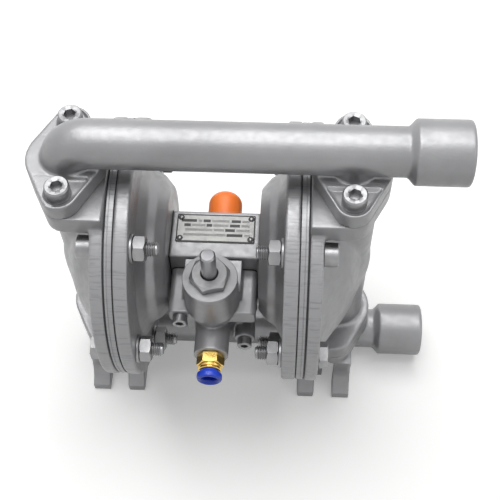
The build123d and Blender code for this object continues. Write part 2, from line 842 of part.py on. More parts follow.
def valve_level(z):
    """Level plane centred on the valve barrel at a height above the shaft axis."""
    return level(axis_height + z, 0, -valve_stand)


with BuildPart() as valve_sleeve:
    ring(valve_level(sleeve_foot), sleeve_radius, sleeve_bore, sleeve_height)
    for row in ring_rows:
        ring(valve_level(row - sleeve_groove / 2), sleeve_radius, sleeve_radius - sleeve_groove,
             sleeve_groove, Mode.SUBTRACT)
    for row in port_rows:
        rod(facing(sleeve_radius - valve_stand, 0, axis_height + row), sleeve_port, 2 * sleeve_radius,
            Mode.SUBTRACT)

with BuildPart() as sleeve_rings:
    for row in ring_rows:
        ring(valve_level(row - sleeve_groove / 2 + slip), sleeve_radius - slip,
             sleeve_radius - sleeve_groove + slip, sleeve_groove - 2 * slip)

with BuildPart() as valve_spool:
    rod(valve_level(spool_foot), sleeve_bore - spool_clearance, spool_length)
    waist_length = (spool_length - 3 * spool_land) / 2
    for start in (spool_foot + spool_land, spool_foot + 2 * spool_land + waist_length):
        ring(valve_level(start), sleeve_bore, spool_waist, waist_length, Mode.SUBTRACT)

rod_top = valve_top + cap_thickness + gland_height + rod_rise

with BuildPart() as reset_rod:
    rod(valve_level(spool_top + fit_gap), rod_radius, rod_top - spool_top - fit_gap)
    chamfer(edges().group_by(Axis.Z)[-1], rod_tip_chamfer)
    rod(valve_level(valve_top - fit_gap), rod_flange_radius, -rod_flange_thickness)

with BuildPart() as valve_cap:
    ring(valve_level(valve_top), cap_radius, cap_bore, cap_thickness)

with BuildPart() as rod_seal:
    ring(valve_level(valve_top + slip), cap_bore - slip, rod_radius + shaft_clearance,
         cap_thickness - 2 * slip)

with BuildPart() as gland_nut:
    hexagon(valve_level(valve_top + cap_thickness), gland_flats, gland_height, gland_turn)
    rod(valve_level(valve_top + cap_thickness), gland_bore, gland_height, Mode.SUBTRACT)

with BuildPart() as valve_bottom_plug:
    rod(valve_level(sleeve_foot), sleeve_radius, -bottom_plug_thickness)
    hexagon(valve_level(sleeve_foot - bottom_plug_thickness), m8_key, bottom_plug_thickness / 2,
            mode=Mode.SUBTRACT)

# Push-in fitting for an 8 mm tube
inlet_plane = facing(-inlet_face, 0, valve_z)
fitting_mouth = fitting_hex_length + fitting_neck_length
seal_start = slip - fitting_seal_sink
claw_start = seal_start + fitting_seal_length + slip
collar_bore_depth = fitting_mouth - seal_start + slip
collar_back = fitting_mouth + collar_travel + fit_gap

with BuildPart() as fitting_body:
    rod(inlet_plane, inlet_thread_radius, slip - inlet_thread_depth)
    hexagon(inlet_plane, fitting_flats, fitting_hex_length, 30)
    rod(inlet_plane, fitting_neck_radius, fitting_mouth)
    rod(inlet_plane.offset(fitting_mouth), collar_sleeve_radius + slip, -collar_bore_depth, Mode.SUBTRACT)
    rod(inlet_plane, tube_radius + slip, -fitting_stop_depth, Mode.SUBTRACT)
    rod(inlet_plane, fitting_stop_radius, -inlet_thread_depth, Mode.SUBTRACT)

with BuildPart() as fitting_seal:
    ring(inlet_plane.offset(seal_start), collar_sleeve_radius, tube_radius + slip, fitting_seal_length)

with BuildPart() as fitting_claw:
    ring(inlet_plane.offset(claw_start), collar_sleeve_radius, tube_radius + slip, fitting_claw_length)

with BuildPart() as fitting_collar:
    rod(inlet_plane.offset(collar_back), collar_radius, collar_head)
    fillet(edges().filter_by(GeomType.CIRCLE), collar_head / 4)
    rod(inlet_plane.offset(collar_back), collar_sleeve_radius, -collar_sleeve_length)
    rod(inlet_plane.offset(collar_back + collar_head), tube_radius, -collar_head - collar_sleeve_length,
        Mode.SUBTRACT)

save(discharge_manifold, "discharge_manifold")
save(suction_manifold, "suction_manifold")
save(right_fluid_cover, "right_fluid_cover")
save(left_fluid_cover, "left_fluid_cover")
save(right_air_chamber, "right_air_chamber")
save(left_air_chamber, "left_air_chamber")
save(chamber_gaskets, "chamber_gaskets")
save(chamber_screws, "chamber_screws")
save(right_diaphragm, "right_diaphragm")
save(left_diaphragm, "left_diaphragm")
save(diaphragm_shaft, "diaphragm_shaft")
save(right_inner_plate, "right_inner_plate")
save(right_outer_plate, "right_outer_plate")
save(left_inner_plate, "left_inner_plate")
save(left_outer_plate, "left_outer_plate")
save(plate_nuts, "plate_nuts")
save(chamber_cap_screws, "chamber_cap_screws")
save(chamber_hex_bolts, "chamber_hex_bolts")
save(chamber_washers, "chamber_washers")
save(chamber_nuts, "chamber_nuts")
save(discharge_screws, "discharge_screws")
save(suction_screws, "suction_screws")
save(discharge_ball_seats, "discharge_ball_seats")
save(suction_ball_seats, "suction_ball_seats")
save(manifold_rings, "manifold_rings")
save(centre_block, "centre_block")
save(shaft_bushes, "shaft_bushes")
save(shaft_seals, "shaft_seals")
save(exhaust_plug, "exhaust_plug")
save(nameplate, "nameplate")
save(nameplate_rivets, "nameplate_rivets")
save(valve_body, "valve_body")
save(valve_gasket, "valve_gasket")
save(valve_screws, "valve_screws")
save(valve_sleeve, "valve_sleeve")
save(sleeve_rings, "sleeve_rings")
save(valve_spool, "valve_spool")
save(reset_rod, "reset_rod")
save(valve_cap, "valve_cap")
save(rod_seal, "rod_seal")
save(gland_nut, "gland_nut")
save(valve_bottom_plug, "valve_bottom_plug")
save(fitting_body, "fitting_body")
save(fitting_seal, "fitting_seal")
save(fitting_claw, "fitting_claw")
save(fitting_collar, "fitting_collar")
for name, ball in balls.items():
    save(ball, name)
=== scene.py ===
"""Looks for an air operated double diaphragm pump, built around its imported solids."""

import json
from math import atan2, cos, pi, radians, sin, sqrt, tan

import bmesh
import bpy
from mathutils import Matrix, Vector


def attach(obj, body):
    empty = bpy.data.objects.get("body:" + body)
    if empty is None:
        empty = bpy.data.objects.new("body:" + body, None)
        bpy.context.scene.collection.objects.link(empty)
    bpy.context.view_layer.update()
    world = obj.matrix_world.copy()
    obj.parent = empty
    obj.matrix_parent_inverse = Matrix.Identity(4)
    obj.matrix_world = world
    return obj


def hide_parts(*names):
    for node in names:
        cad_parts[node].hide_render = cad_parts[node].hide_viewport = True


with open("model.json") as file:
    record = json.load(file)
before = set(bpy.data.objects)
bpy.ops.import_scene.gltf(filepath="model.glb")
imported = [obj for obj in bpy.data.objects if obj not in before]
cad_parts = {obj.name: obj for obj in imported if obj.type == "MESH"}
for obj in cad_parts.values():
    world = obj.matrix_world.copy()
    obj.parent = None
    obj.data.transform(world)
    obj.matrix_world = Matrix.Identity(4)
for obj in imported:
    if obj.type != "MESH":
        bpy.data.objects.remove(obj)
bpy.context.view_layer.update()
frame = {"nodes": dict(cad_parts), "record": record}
nodes = frame["nodes"]
bpy.context.scene.view_settings.view_transform = "Standard"

# Places on the pump in millimetres, with x counted from the middle of its two discs
MM = 0.001
PUMP_X = -19.0
AXIS_Z = 118.0
PORT_X = 75.0
PORT_MOUTH = 133.0
PIPE_LEVELS = (20.0, 216.0)
FLANGE_SCREW_Y = 23.3
DISCHARGE_SEAT = 203.3
SUCTION_SEAT = 32.7
BOLT_CIRCLE = 66.0
DISC_RADIUS = 76.0
FLUID_FACE = 61.2
AIR_FACE = 40.6
EDGE_BAND_X = 48.8
CAP_SCREW_ANGLES = (57, 123)
HEX_BOLT_ANGLES = (-3, 183, 240, 300)
VALVE_Y = -37.0
VALVE_Z = 101.5
VALVE_SCREW_SEAT = -45.0
VALVE_SCREWS = ((-18.3, 13.3), (18.3, -13.3))
VALVE_CAP_LEVEL = 145.0
GLAND_NUT_LEVEL = 147.0
INLET_FACE = -63.0
PLATE_TOP = 134.1
PLATE_Y = 3.5
RIVET_SPOTS = ((-20.6, -7.1), (20.6, -7.1), (-20.6, 7.1), (20.6, 7.1))

# Flanges of the discharge manifold, in millimetres: a disc, and an ear round each screw
FLANGE_TOP = 205.3
FLANGE_RADIUS = 21.0
EAR_RADIUS = 10.0
EDGE_SIN = (FLANGE_RADIUS - EAR_RADIUS) / FLANGE_SCREW_Y
EDGE_COS = sqrt(1 - EDGE_SIN ** 2)
POCKET_WALL = 1.1
POCKET_FLOOR = FLANGE_TOP - 2.5
SCREW_HEAD_ROOM = 7.6
PIPE_EDGE = 13.2
STRIP_EDGE = 15.9


def spot(x, y, z):
    """Point in metres from millimetres, with x counted from the middle of the pump's two discs."""
    return Vector(((x + PUMP_X) * MM, y * MM, z * MM))


def place(point, toward, turn=0.0):
    """Matrix that takes a shape made along +Z, in millimetres, to a point and leans it toward a direction."""
    lean = Vector((0, 0, 1)).rotation_difference(Vector(toward)).to_matrix().to_4x4()
    return Matrix.Translation(point) @ lean @ Matrix.Rotation(radians(turn), 4, "Z") @ Matrix.Scale(MM, 4)


# Camera: it looks down on the front of the pump from where the photo was taken
CAMERA_LENS = 67.9
CAMERA_PLACE = (42.165, -293.314, 596.059)
CAMERA_YAW = radians(-4.3507)
CAMERA_DIP = radians(58.4531)
CAMERA_ROLL = radians(-1.9212)
ahead = Vector((sin(CAMERA_YAW) * cos(CAMERA_DIP), cos(CAMERA_YAW) * cos(CAMERA_DIP), -sin(CAMERA_DIP)))
level_right = Vector((cos(CAMERA_YAW), -sin(CAMERA_YAW), 0))
level_up = level_right.cross(ahead)
right = level_right * cos(CAMERA_ROLL) + level_up * sin(CAMERA_ROLL)
up = level_up * cos(CAMERA_ROLL) - level_right * sin(CAMERA_ROLL)
view = bpy.data.objects.new("camera", bpy.data.cameras.new("camera"))
view.data.lens = CAMERA_LENS
view.data.clip_start = 0.01
view.matrix_world = Matrix.Translation(spot(*CAMERA_PLACE)) @ Matrix(
    (
        (right.x, up.x, -ahead.x, 0),
        (right.y, up.y, -ahead.y, 0),
        (right.z, up.z, -ahead.z, 0),
        (0, 0, 0, 1),
    )
)
bpy.context.scene.collection.objects.link(view)
bpy.context.scene.camera = view


# Light: a large soft box overhead, a weak one from the right and a white studio round the pump
AMBIENT = 0.16


def softbox(name, position, size, watts):
    """Square area lamp that looks at the pump."""
    lamp = bpy.data.lights.new(name, "AREA")
    lamp.shape = "SQUARE"
    lamp.size = size
    lamp.energy = watts
    holder = bpy.data.objects.new(name, lamp)
    holder.location = position
    aim = Vector((0, 0, AXIS_Z * MM)) - Vector(position)
    holder.rotation_euler = aim.to_track_quat("-Z", "Y").to_euler()
    bpy.context.scene.collection.objects.link(holder)


softbox("top_light", position=(-0.10, 0.28, 1.5), size=1.4, watts=23)
softbox("side_light", position=(1.1, -0.5, 0.9), size=0.6, watts=1.2)


def add(tree, kind, settings=None, links=None):
    """Add a node, set what it needs and link its inputs."""
    node = tree.nodes.new(kind)
    for name, value in (settings or {}).items():
        setattr(node, name, value)
    for socket, source in (links or {}).items():
        if isinstance(source, bpy.types.NodeSocket):
            tree.links.new(source, node.inputs[socket])
        else:
            node.inputs[socket].default_value = source
    return node


def linear(code):
    """Linear colour from an sRGB hex value."""
    channels = [int(code[i:i + 2], 16) / 255 for i in (1, 3, 5)]
    return [c / 12.92 if c <= 0.04045 else ((c + 0.055) / 1.055) ** 2.4 for c in channels] + [1.0]


def looked_at(tree):
    """One where the camera looks, straight or by way of gloss or glass, and zero for light that spreads."""
    path = add(tree, "ShaderNodeLightPath")
    shiny = add(tree, "ShaderNodeMath", {"operation": "MAXIMUM"},
                {0: path.outputs["Is Glossy Ray"], 1: path.outputs["Is Transmission Ray"]})
    return add(tree, "ShaderNodeMath", {"operation": "MAXIMUM"},
               {0: path.outputs["Is Camera Ray"], 1: shiny.outputs[0]}).outputs[0]


world = bpy.data.worlds.new("studio")
bpy.context.scene.world = world
world.use_nodes = True
world.node_tree.nodes.clear()
strength = add(world.node_tree, "ShaderNodeMapRange", None,
               {"Value": looked_at(world.node_tree), "To Min": AMBIENT, "To Max": 1.0})
sky = add(world.node_tree, "ShaderNodeBackground", None,
          {"Color": linear("#FFFFFF"), "Strength": strength.outputs[0]})
add(world.node_tree, "ShaderNodeOutputWorld", None, {"Surface": sky.outputs[0]})


# Materials
def shader(name, colour, **sockets):
    """Material with a Principled shader. Returns it with its tree, shader and object coordinates."""
    material = bpy.data.materials.new(name)
    material.use_nodes = True
    tree = material.node_tree
    tree.nodes.clear()
    surface = add(tree, "ShaderNodeBsdfPrincipled", None, {"Base Color": linear(colour)} | sockets)
    add(tree, "ShaderNodeOutputMaterial", None, {"Surface": surface.outputs[0]})
    where = add(tree, "ShaderNodeTexCoord").outputs["Object"]
    return material, tree, surface, where


def grain(tree, where, size_mm, detail=2.0, stretch=(1, 1, 1)):
    """Noise whose lumps measure size_mm, or more along an axis whose stretch is below one."""
    scaled = add(tree, "ShaderNodeMapping", None, {"Vector": where, "Scale": stretch})
    return add(tree, "ShaderNodeTexNoise", None,
               {"Vector": scaled.outputs[0], "Scale": 1 / (size_mm * MM), "Detail": detail}).outputs[0]


def spread(tree, value, low, high, start=0.3, end=0.7):
    """Carry a pattern's values to a range."""
    return add(tree, "ShaderNodeMapRange", None,
               {"Value": value, "From Min": start, "From Max": end, "To Min": low, "To Max": high}).outputs[0]


def two_tone(tree, surface, pattern, first, second, start=0.3, end=0.7):
    """Colour a surface with two tones that follow a pattern."""
    mixed = add(tree, "ShaderNodeMix", {"data_type": "RGBA"},
                {0: spread(tree, pattern, 0, 1, start, end), 6: linear(first), 7: linear(second)})
    tree.links.new(mixed.outputs[2], surface.inputs["Base Color"])


def relief(tree, surface, heights):
    """Chain bumps into a surface, each a pattern and its depth in millimetres."""
    normal = None
    for height, depth in heights:
        links = {"Height": height, "Distance": depth * MM, "Strength": 1.0}
        if normal is not None:
            links["Normal"] = normal
        normal = add(tree, "ShaderNodeBump", None, links).outputs[0]
    tree.links.new(normal, surface.inputs["Normal"])


# Aluminium flakes in a clear binder: how much of the paint reflects as metal
METAL_IN_PAINT = 0.45


def silver_paint(name, light, dark, grit_depth, marks=None):
    """Aluminium-flake paint on a casting: satin silver, and the sand mould's grain shows through it.

    The colour has clouds 30 mm across, the gloss has patches of 4 mm, and the relief has waves of 5 mm
    and grit of 1.2 mm. Marks are long scratches of a file under the paint: their spacing, stretch and depth.
    """
    material, tree, surface, where = shader(name, light, Metallic=METAL_IN_PAINT, IOR=1.5)
    two_tone(tree, surface, grain(tree, where, 30, 3), light, dark)
    tree.links.new(spread(tree, grain(tree, where, 4), 0.31, 0.48), surface.inputs["Roughness"])
    heights = [(grain(tree, where, 5), 0.09), (grain(tree, where, 1.2), grit_depth)]
    if marks:
        spacing, stretch, depth = marks
        strokes = grain(tree, where, spacing, 1, stretch)
        two_tone(tree, surface, strokes, dark, light, 0.30, 0.48)
        heights.append((strokes, depth))
    relief(tree, surface, heights)
    return material


def bare_metal(name, light, dark, rough, spacing=0.8, stretch=(1, 1, 0.15)):
    """Plated, turned or rolled metal: fully metallic, with a faint stain and the tool's fine lines.

    Spacing and stretch give those lines, which are drawn coarser than real ones so that they show.
    """
    material, tree, surface, where = shader(name, light, Metallic=1.0)
    two_tone(tree, surface, grain(tree, where, 8, 3), light, dark)
    tree.links.new(spread(tree, grain(tree, where, 1.6), *rough), surface.inputs["Roughness"])
    relief(tree, surface, [(grain(tree, where, spacing, 2, stretch), 0.012)])
    return material


def moulded(name, light, dark, rough, skin_mm=0.8, depth=0.012, ior=1.5, **sockets):
    """Moulded plastic or rubber: an even colour, and the mould's fine skin in its gloss."""
    material, tree, surface, where = shader(name, light, IOR=ior, **sockets)
    two_tone(tree, surface, grain(tree, where, 14), light, dark)
    gloss = spread(tree, grain(tree, where, 3), rough - 0.04, rough + 0.05)
    tree.links.new(gloss, surface.inputs["Roughness"])
    relief(tree, surface, [(grain(tree, where, skin_mm), depth)])
    return material


# Sprayed castings: satin silver that goes from near white above to mid grey in front
cast_paint = silver_paint("sprayed_sand_cast_aluminium", "#A5A5A7", "#98989A", 0.06)
# Machined before it was sprayed, so it is smoother than the castings
valve_paint = silver_paint("sprayed_machined_aluminium", "#A3A3A5", "#99999B", 0.03)
# File strokes across the edges of the discs, finer on a real pump and here about 1 mm apart so that they show
FILE_STROKES = (1.1, (0.08, 1, 1), 0.045)
filed_paint = silver_paint("sprayed_filed_disc_edge", "#A5A5A7", "#949497", 0.05, FILE_STROKES)
# Zinc plated steel: pale and bright, with soft reflections
zinc = bare_metal("zinc_plated_steel", "#9C9C9D", "#88888A", (0.33, 0.45))
# Ground and polished steel bar
steel = bare_metal("ground_steel_bar", "#9E9EA0", "#8E8E91", (0.30, 0.40))
# Rolled aluminium sheet, brushed along its length
sheet = bare_metal("brushed_aluminium_sheet", "#8E8E8C", "#858584", (0.42, 0.52), 0.5, (0.1, 4, 1))
# Freshly cut aluminium, brighter than the paint round it
alloy = bare_metal("turned_aluminium", "#C2C2C4", "#B0B0B3", (0.28, 0.38))
# Nitrile rubber: nearly black and dull
rubber = moulded("moulded_nitrile_rubber", "#1B1B1C", "#232324", 0.62)
# PTFE: waxy off-white
ptfe = moulded("turned_ptfe", "#E2E0DA", "#D8D6D0", 0.42, ior=1.35)
# Cast bronze, turned for the bushes
bronze = bare_metal("turned_bronze", "#A8824A", "#8E6C3C", (0.28, 0.4))
# Bright turned brass of the tube fitting
brass = bare_metal("turned_bright_brass", "#EBCB7C", "#D9B257", (0.16, 0.26), 0.6, (1, 6, 1))
# Acetal release collar: strong blue with a soft gloss
acetal = moulded("moulded_blue_acetal", "#2A50DC", "#2346CC", 0.30, ior=1.48)
# Polythene transit plug: bright orange that lets a little light in
polythene = moulded("moulded_orange_polythene", "#FF8736", "#FF7C2A", 0.38, ior=1.51,
                    **{"Subsurface Weight": 0.15, "Subsurface Radius": (0.004, 0.002, 0.001)})
# Printed nameplate enamel: flat black, and a grey for the ruled lines
black_print = moulded("black_plate_enamel", "#141414", "#1A1A1A", 0.45)
grey_print = moulded("grey_plate_enamel", "#6E6E6E", "#767676", 0.5)

finishes = {
    "cast": cast_paint,
    "valve_paint": valve_paint,
    "zinc": zinc,
    "steel": steel,
    "plate": sheet,
    "alloy": alloy,
    "rubber": rubber,
    "ball": ptfe,
    "bush": bronze,
    "brass": brass,
    "blue": acetal,
    "orange": polythene,
}
for subpart in frame["record"]["subparts"]:
    mesh = nodes[subpart["node"]].data
    mesh.materials.clear()
    mesh.materials.append(finishes[subpart["material_slot"]])


# Making and placing pieces, whose shapes are in millimetres until they are set out
SAME_SPOT = 0.001


def show(name, bm, materials, body="pump", smooth=30, replaced=()):
    """Turn a finished bmesh, in metres and in place, into a piece that rides on a body."""
    mesh = bpy.data.meshes.new(name)
    bm.to_mesh(mesh)
    bm.free()
    for material in materials:
        mesh.materials.append(material)
    piece = bpy.data.objects.new(name, mesh)
    bpy.context.scene.collection.objects.link(piece)
    mesh.shade_smooth()
    mesh.set_sharp_from_angle(angle=radians(smooth))
    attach(piece, body)
    if replaced:
        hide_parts(*replaced)
    return piece


def turn_round(bm, outline, steps=48, closed=False):
    """Spin an outline of (radius, height) points round Z. A closed outline gives a ring."""
    corners = [bm.verts.new((radius, 0, height)) for radius, height in outline]
    following = corners[1:] + corners[:1] if closed else corners[1:]
    lines = [bm.edges.new(pair) for pair in zip(corners, following)]
    bmesh.ops.spin(bm, geom=corners + lines, axis=(0, 0, 1), cent=(0, 0, 0), angle=2 * pi, steps=steps,
                   use_merge=True)


def close_up(bm):
    """Merge seams and poles, fill what is left open and point the faces outwards."""
    bmesh.ops.remove_doubles(bm, verts=bm.verts, dist=SAME_SPOT)
    bmesh.ops.holes_fill(bm, edges=[edge for edge in bm.edges if edge.is_boundary], sides=0)
    bmesh.ops.recalc_face_normals(bm, faces=bm.faces)


def set_out(shape, matrices):
    """One bmesh that holds a copy of a shape at each place. The shape is used up."""
    whole = bmesh.new()
    close_up(shape)
    for matrix in matrices:
        copy = shape.copy()
        bmesh.ops.transform(copy, matrix=matrix, verts=copy.verts)
        mesh = bpy.data.meshes.new("copy")
        copy.to_mesh(mesh)
        copy.free()
        whole.from_mesh(mesh)
        bpy.data.meshes.remove(mesh)
    shape.free()
    return whole


def washer_outline(bore, outer, low, high, ease):
    """Ring section with eased corners."""
    return [(bore, low + ease), (bore + ease, low), (outer - ease, low), (outer, low + ease),
            (outer, high - ease), (outer - ease, high), (bore + ease, high), (bore, high - ease)]


# Fasteners: turned shapes with true hexagons, chamfers, knurls and threads, made along +Z in millimetres
NUT_CHAMFER = tan(radians(30))
SHOULDER = 0.475
BORE_CHAMFER = 0.6
THREAD_DEPTH = 0.61
KNURLS = 48
KNURL_VALLEY = 0.994


def hexagon_block(flats, height, bore=0.0):
    """Nut or bolt head: a turned blank whose corners are pulled in to flats below conical chamfers."""
    bm = bmesh.new()
    shoulder, corner = flats * SHOULDER, flats / sqrt(3)
    drop = (corner - shoulder) * NUT_CHAMFER
    outline = [(shoulder, 0), (corner, drop), (corner, height - drop), (shoulder, height)]
    if bore:
        mouth = bore + BORE_CHAMFER
        outline = [(bore, BORE_CHAMFER), (mouth, 0), *outline, (mouth, height), (bore, height - BORE_CHAMFER)]
    else:
        outline = [(0, 0), *outline, (0, height)]
    turn_round(bm, outline, 48, bool(bore))
    for vert in bm.verts:
        reach = vert.co.xy.length
        if reach > shoulder + SAME_SPOT:
            off_flat = (atan2(vert.co.y, vert.co.x) + pi / 6) % (pi / 3) - pi / 6
            limit = flats / 2 / cos(off_flat)
            slope = (limit - shoulder) * NUT_CHAMFER
            low = vert.co.z < height / 2
            vert.co = (vert.co.x * limit / reach, vert.co.y * limit / reach, slope if low else height - slope)
    return bm


def thread(bm, root, crest, pitch, start, end, steps):
    """Helical ridge between two heights. A crest inside its root makes a thread in a hole."""
    turns = (end - start) / pitch - 1
    count = int(steps * turns)
    profile = [bm.verts.new(point) for point in
               ((root, 0, start), (crest, 0, start + 0.45 * pitch), (crest, 0, start + 0.55 * pitch),
                (root, 0, start + pitch))]
    face = bm.faces.new(profile)
    bmesh.ops.spin(bm, geom=[face, *face.edges, *profile], axis=(0, 0, 1), cent=(0, 0, 0),
                   angle=2 * pi * turns, dvec=(0, 0, turns * pitch / count), steps=count)


def add_shank(bm, radius, pitch, length, threaded):
    """Rod below a head, with a thread over its last stretch and a chamfered end."""
    root = radius - THREAD_DEPTH * pitch
    turn_round(bm, [(0, 0.1), (radius - 0.05, 0.1), (radius - 0.05, threaded - length),
                    (root, threaded - length - 0.3), (root, 0.5 - length), (root - 0.5, -length),
                    (0, -length)], 32)
    thread(bm, root - 0.05, radius, pitch, 0.35 - length, threaded - length + 0.2, 20)


def socket_screw(head_radius, head_height, key, radius, pitch, length, threaded):
    """Socket head cap screw with a knurled head and a six-sided well for the key."""
    bm = bmesh.new()
    rim = head_height / 11
    mouth = key * 0.66
    turn_round(bm, [(0, 0), (head_radius - rim / 2, 0), (head_radius, rim / 2),
                    (head_radius, head_height - rim), (head_radius - rim, head_height),
                    (mouth, head_height)], 2 * KNURLS)
    bmesh.ops.remove_doubles(bm, verts=bm.verts, dist=SAME_SPOT)
    for vert in bm.verts:
        tooth = round(atan2(vert.co.y, vert.co.x) * KNURLS / pi)
        if vert.co.xy.length > head_radius - 0.01 and tooth % 2:
            vert.co.xy *= KNURL_VALLEY
    bmesh.ops.create_circle(bm, segments=6, radius=key / sqrt(3),
                            matrix=Matrix.Translation((0, 0, head_height - 0.35)))
    bmesh.ops.bridge_loops(bm, edges=[edge for edge in bm.edges if edge.is_boundary or edge.is_wire])
    well = bmesh.ops.extrude_edge_only(bm, edges=[edge for edge in bm.edges if edge.is_boundary])
    floor_verts = [part for part in well["geom"] if isinstance(part, bmesh.types.BMVert)]
    bmesh.ops.translate(bm, verts=floor_verts, vec=(0, 0, -head_height / 2))
    add_shank(bm, radius, pitch, length, threaded)
    return bm


def hex_bolt(flats, height, radius, pitch, length, threaded):
    """Hexagon head bolt."""
    bm = hexagon_block(flats, height)
    add_shank(bm, radius, pitch, length, threaded)
    return bm


def ring_shape(outline, steps=64):
    """Ring turned from a closed outline."""
    bm = bmesh.new()
    turn_round(bm, outline, steps, True)
    return bm


def bolt_places(x, angles, outward, left_turns=None, right_turns=None):
    """Places on both discs' bolt circles, which look out of the pump or in toward its middle.

    The turns say how far each hexagon or socket came to rest from having a flat on top.
    """
    places = []
    for side, turns in ((-1, left_turns), (1, right_turns)):
        for angle, turn in zip(angles, turns or [0] * len(angles)):
            y = BOLT_CIRCLE * cos(radians(angle))
            z = AXIS_Z + BOLT_CIRCLE * sin(radians(angle))
            places.append(place(spot(side * x, y, z), (side * outward, 0, 0), turn))
    return places


M8 = {"radius": 4.0, "pitch": 1.25}
M5 = {"radius": 2.5, "pitch": 0.8}
M8_SOCKET_HEAD = {"head_radius": 6.5, "head_height": 8.0, "key": 6.0}
M5_SOCKET_HEAD = {"head_radius": 4.25, "head_height": 5.0, "key": 4.0}
M8_FLATS = 13.0
THROUGH_DISCS = {"length": 35.5, "threaded": 7.6}
NUT_FACE = AIR_FACE - 1.7
ALL_ANGLES = CAP_SCREW_ANGLES + HEX_BOLT_ANGLES

cap_screw = socket_screw(**M8_SOCKET_HEAD, **M8, **THROUGH_DISCS)
cap_places = bolt_places(FLUID_FACE, CAP_SCREW_ANGLES, 1, (0, 17), (17, 0))
show("chamber_cap_screws_turned", set_out(cap_screw, cap_places), [zinc],
     replaced=("chamber_cap_screws",))

hex_screw = hex_bolt(flats=M8_FLATS, height=5.3, **M8, **THROUGH_DISCS)
hex_places = bolt_places(FLUID_FACE, HEX_BOLT_ANGLES, 1, (8, 0, 28, 8), (0, 21, 30, 0))
show("chamber_hex_bolts_turned", set_out(hex_screw, hex_places), [zinc],
     replaced=("chamber_hex_bolts",))

nut = hexagon_block(flats=M8_FLATS, height=6.6, bore=3.4)
nut_places = bolt_places(NUT_FACE, ALL_ANGLES, -1, (4, 0, 26, 11, 28, 3), (9, 2, 11, 4, 0, 26))
show("chamber_nuts_turned", set_out(nut, nut_places), [zinc], replaced=("chamber_nuts",))

washer = ring_shape(washer_outline(bore=4.2, outer=8.0, low=0, high=1.6, ease=0.3))
show("chamber_washers_turned", set_out(washer, bolt_places(AIR_FACE, ALL_ANGLES, -1)), [zinc],
     replaced=("chamber_washers",))

for joint_name, seat, way in (("discharge", DISCHARGE_SEAT, 1), ("suction", SUCTION_SEAT, -1)):
    manifold_screw = socket_screw(**M8_SOCKET_HEAD, **M8, length=19.0, threaded=9.0)
    seats = [place(spot(side * PORT_X, y, seat), (0, 0, way), 10 * side)
             for side in (-1, 1) for y in (-FLANGE_SCREW_Y, FLANGE_SCREW_Y)]
    show(joint_name + "_screws_turned", set_out(manifold_screw, seats), [zinc],
         replaced=(joint_name + "_screws",))

valve_screw = socket_screw(**M5_SOCKET_HEAD, **M5, length=33.4, threaded=6.0)
valve_seats = [place(spot(x, VALVE_SCREW_SEAT, VALVE_Z + z), (0, -1, 0), 12) for x, z in VALVE_SCREWS]
show("valve_screws_turned", set_out(valve_screw, valve_seats), [zinc], replaced=("valve_screws",))

# Air valve: the hexagon gland round the reset rod, and the cap disc below it
gland = hexagon_block(flats=20.0, height=5.0, bore=4.5)
show("gland_nut_turned", set_out(gland, [place(spot(0, VALVE_Y, GLAND_NUT_LEVEL), (0, 0, 1), -15)]),
     [zinc], replaced=("gland_nut",))
cap_disc = ring_shape(washer_outline(bore=6.2, outer=15.4, low=0, high=2.0, ease=0.35), 96)
show("valve_cap_turned", set_out(cap_disc, [place(spot(0, VALVE_Y, VALVE_CAP_LEVEL), (0, 0, 1))]),
     [valve_paint], replaced=("valve_cap",))

# Nameplate rivets: domed heads
rivet = bmesh.new()
turn_round(rivet, [(0, 0), (1.15, 0), (1.15, 0.12), (1.0, 0.4), (0.7, 0.6), (0.35, 0.68), (0, 0.7)], 24)
rivet_places = [place(spot(x, PLATE_Y + y, PLATE_TOP), (0, 0, 1)) for x, y in RIVET_SPOTS]
show("nameplate_rivets_domed", set_out(rivet, rivet_places), [zinc], replaced=("nameplate_rivets",))

# Push-in fitting: brass hexagon with a grooved neck, and the blue collar that frees the tube
inlet_place = place(spot(0, INLET_FACE, VALVE_Z), (0, -1, 0), 30)
fitting = hexagon_block(flats=14.0, height=6.5, bore=5.05)
turn_round(fitting, [(5.05, 6.3), (6.2, 6.3), (6.0, 6.9), (6.9, 7.2), (7.1, 7.6), (6.9, 8.2), (6.1, 8.5),
                     (6.1, 8.9), (6.6, 9.2), (6.3, 9.5), (5.05, 9.5)], 64, True)
turn_round(fitting, [(3.0, -8.9), (6.1, -8.9), (6.1, 0.2), (5.05, 0.2), (5.05, -1.5), (4.15, -1.5),
                     (4.15, -6.0), (3.0, -6.0)], 48, True)
show("tube_fitting_turned", set_out(fitting, [inlet_place]), [brass], replaced=("fitting_body",))
collar = ring_shape([(4.1, 5.0), (5.0, 5.0), (5.0, 11.0), (6.4, 11.0), (7.1, 11.5), (7.3, 12.3), (7.3, 13.9),
                     (7.0, 14.8), (6.3, 15.35), (5.7, 15.4), (5.0, 14.9), (4.3, 13.9), (4.1, 13.2)], 72)
show("release_collar_moulded", set_out(collar, [inlet_place]), [acetal], body="fitting_collar",
     replaced=("fitting_collar",))

# Threads cut in the two ports
PORT_PITCH = 1.814
port_thread = bmesh.new()
thread(port_thread, root=9.7, crest=9.0, pitch=PORT_PITCH, start=1.5, end=16.8, steps=48)
port_places = [place(spot(PORT_MOUTH, 0, z), (-1, 0, 0)) for z in PIPE_LEVELS]
show("port_threads_cut", set_out(port_thread, port_places), [alloy])

